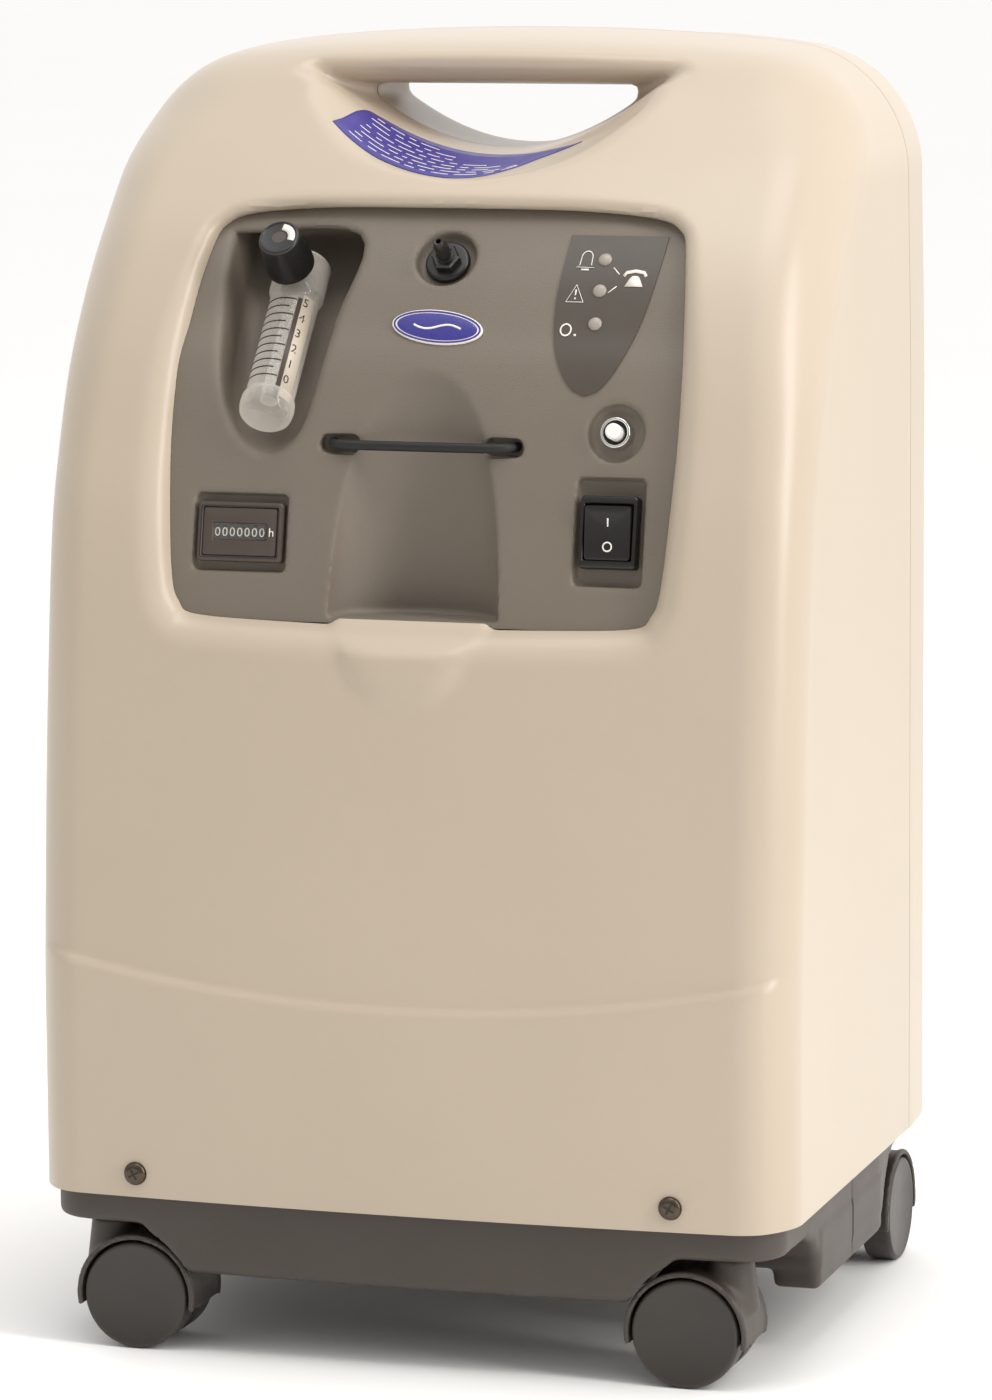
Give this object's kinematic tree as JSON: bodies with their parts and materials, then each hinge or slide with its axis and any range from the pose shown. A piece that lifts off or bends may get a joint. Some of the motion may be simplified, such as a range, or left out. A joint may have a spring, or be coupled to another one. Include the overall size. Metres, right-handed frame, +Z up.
{
  "type": "oxygen concentrator",
  "caption": "Home oxygen concentrator: two-part beige cabinet with a grip tunnel, sunk control panel with flowmeter and bottle niche, base tub and twin-wheel casters.",
  "frame": {"origin": "on the floor, under the middle of the object's bounding box", "axes": "+Z up; the control panel faces -Y; +X is on the right as seen from the front"},
  "size_m": [0.381, 0.32, 0.633],
  "materials": {
    "shell_beige": "fine moulded texture, semi-matt",
    "panel_taupe": "fine leather-grain moulding",
    "base_brown": "fine leather-grain moulding",
    "wheel_tread": "smooth hard tread",
    "steel": "turned steel",
    "screw_steel": "blackened cross-head screw",
    "black_plastic": "satin black moulding",
    "overlay_dark": "printed satin film",
    "clear_acrylic": "clear moulded acrylic",
    "float_steel": "polished ball",
    "outlet_metal": "plated brass",
    "button_white": "white button",
    "lens": "unlit smoky lens",
    "badge_blue": "printed film",
    "strap_rubber": "soft black rubber",
    "compressor_alloy": "cast alloy",
    "tank_plastic": "white pressure vessel",
    "board_green": "circuit board",
    "hose": "soft clear hose"
  },
  "bodies": {
    "cabinet": {"front_cover": "shell_beige", "rear_cover": "shell_beige", "control_panel": "panel_taupe", "base_tub": "base_brown", "cover_screw_left": "screw_steel", "cover_screw_right": "screw_steel", "switch_bezel": "black_plastic", "hour_meter_case": "black_plastic", "power_inlet": "black_plastic", "fan_housing": "black_plastic", "outlet_flange": "black_plastic", "indicator_overlay": "overlay_dark", "flowmeter_body": "clear_acrylic", "hour_meter_window": "clear_acrylic", "outlet_barb": "outlet_metal", "breaker_collar": "outlet_metal", "led_alarm": "lens", "led_warning": "lens", "led_oxygen": "lens", "panel_badge": "badge_blue", "handle_label": "badge_blue", "bottle_strap": "strap_rubber", "compressor_mount_1": "strap_rubber", "compressor_mount_2": "strap_rubber", "compressor_mount_3": "strap_rubber", "compressor_mount_4": "strap_rubber", "compressor": "compressor_alloy", "valve_manifold": "compressor_alloy", "heat_exchanger": "compressor_alloy", "sieve_bed_left": "tank_plastic", "sieve_bed_right": "tank_plastic", "product_tank": "tank_plastic", "circuit_board": "board_green", "product_hose": "hose"},
    "fan": {"fan_blades": "black_plastic"},
    "flow_knob": {"flowmeter_knob": "black_plastic"},
    "flow_float": {"flowmeter_float": "float_steel"},
    "breaker": {"breaker_button": "button_white"},
    "rocker": {"switch_rocker": "black_plastic"},
    "filter_panel": {"filter_door": "shell_beige"},
    "caster_front_left": {"caster_hood_front_left": "base_brown", "caster_stem_front_left": "steel", "caster_axle_front_left": "steel"},
    "wheel_front_left_a": {"wheel_front_left_a": "wheel_tread"},
    "wheel_front_left_b": {"wheel_front_left_b": "wheel_tread"},
    "caster_front_right": {"caster_hood_front_right": "base_brown", "caster_stem_front_right": "steel", "caster_axle_front_right": "steel"},
    "wheel_front_right_a": {"wheel_front_right_a": "wheel_tread"},
    "wheel_front_right_b": {"wheel_front_right_b": "wheel_tread"},
    "caster_rear_left": {"caster_hood_rear_left": "base_brown", "caster_stem_rear_left": "steel", "caster_axle_rear_left": "steel"},
    "wheel_rear_left_a": {"wheel_rear_left_a": "wheel_tread"},
    "wheel_rear_left_b": {"wheel_rear_left_b": "wheel_tread"},
    "caster_rear_right": {"caster_hood_rear_right": "base_brown", "caster_stem_rear_right": "steel", "caster_axle_rear_right": "steel"},
    "wheel_rear_right_a": {"wheel_rear_right_a": "wheel_tread"},
    "wheel_rear_right_b": {"wheel_rear_right_b": "wheel_tread"}
  },
  "joints": [
    {"name": "swivel_front_left", "type": "hinge", "parent": "cabinet", "child": "caster_front_left", "pos_m": [-0.157, -0.12827, 0.07], "axis": [0, 0, 1], "continuous": true},
    {"name": "roll_front_left_a", "type": "hinge", "parent": "caster_front_left", "child": "wheel_front_left_a", "pos_m": [-0.139, -0.12827, 0.0265], "axis": [0, 1, 0], "continuous": true},
    {"name": "roll_front_left_b", "type": "hinge", "parent": "caster_front_left", "child": "wheel_front_left_b", "pos_m": [-0.139, -0.12827, 0.0265], "axis": [0, 1, 0], "continuous": true},
    {"name": "swivel_front_right", "type": "hinge", "parent": "cabinet", "child": "caster_front_right", "pos_m": [0.157, -0.12827, 0.07], "axis": [0, 0, 1], "continuous": true},
    {"name": "roll_front_right_a", "type": "hinge", "parent": "caster_front_right", "child": "wheel_front_right_a", "pos_m": [0.139, -0.12827, 0.0265], "axis": [0, 1, 0], "continuous": true},
    {"name": "roll_front_right_b", "type": "hinge", "parent": "caster_front_right", "child": "wheel_front_right_b", "pos_m": [0.139, -0.12827, 0.0265], "axis": [0, 1, 0], "continuous": true},
    {"name": "swivel_rear_left", "type": "hinge", "parent": "cabinet", "child": "caster_rear_left", "pos_m": [-0.157, 0.11173, 0.07], "axis": [0, 0, 1], "continuous": true},
    {"name": "roll_rear_left_a", "type": "hinge", "parent": "caster_rear_left", "child": "wheel_rear_left_a", "pos_m": [-0.157, 0.12973, 0.0265], "axis": [1, 0, 0], "continuous": true},
    {"name": "roll_rear_left_b", "type": "hinge", "parent": "caster_rear_left", "child": "wheel_rear_left_b", "pos_m": [-0.157, 0.12973, 0.0265], "axis": [1, 0, 0], "continuous": true},
    {"name": "swivel_rear_right", "type": "hinge", "parent": "cabinet", "child": "caster_rear_right", "pos_m": [0.157, 0.11173, 0.07], "axis": [0, 0, 1], "continuous": true},
    {"name": "roll_rear_right_a", "type": "hinge", "parent": "caster_rear_right", "child": "wheel_rear_right_a", "pos_m": [0.157, 0.12973, 0.0265], "axis": [1, 0, 0], "continuous": true},
    {"name": "roll_rear_right_b", "type": "hinge", "parent": "caster_rear_right", "child": "wheel_rear_right_b", "pos_m": [0.157, 0.12973, 0.0265], "axis": [1, 0, 0], "continuous": true},
    {"name": "knob_turn", "type": "hinge", "parent": "cabinet", "child": "flow_knob", "pos_m": [-0.078, -0.06147, 0.51332], "axis": [0, -0.7431, 0.6691], "range_deg": [0, 900]},
    {"name": "float_rise", "type": "slide", "parent": "cabinet", "child": "flow_float", "axis": [0, 0.6691, 0.7431], "range_m": [0, 0.05]},
    {"name": "breaker_trip", "type": "slide", "parent": "cabinet", "child": "breaker", "axis": [0, -0.9555, 0.2951], "range_m": [0, 0.003]},
    {"name": "rocker_tilt", "type": "hinge", "parent": "cabinet", "child": "rocker", "pos_m": [0.0955, -0.11914, 0.40467], "axis": [-1, 0, 0], "range_deg": [0, 12]},
    {"name": "fan_spin", "type": "hinge", "parent": "cabinet", "child": "fan", "pos_m": [0, 0.01273, 0.22], "axis": [0, 0, 1], "continuous": true},
    {"name": "filter_slide", "type": "slide", "parent": "cabinet", "child": "filter_panel", "axis": [0, 1, 0], "range_m": [0, 0.03]}
  ]
}
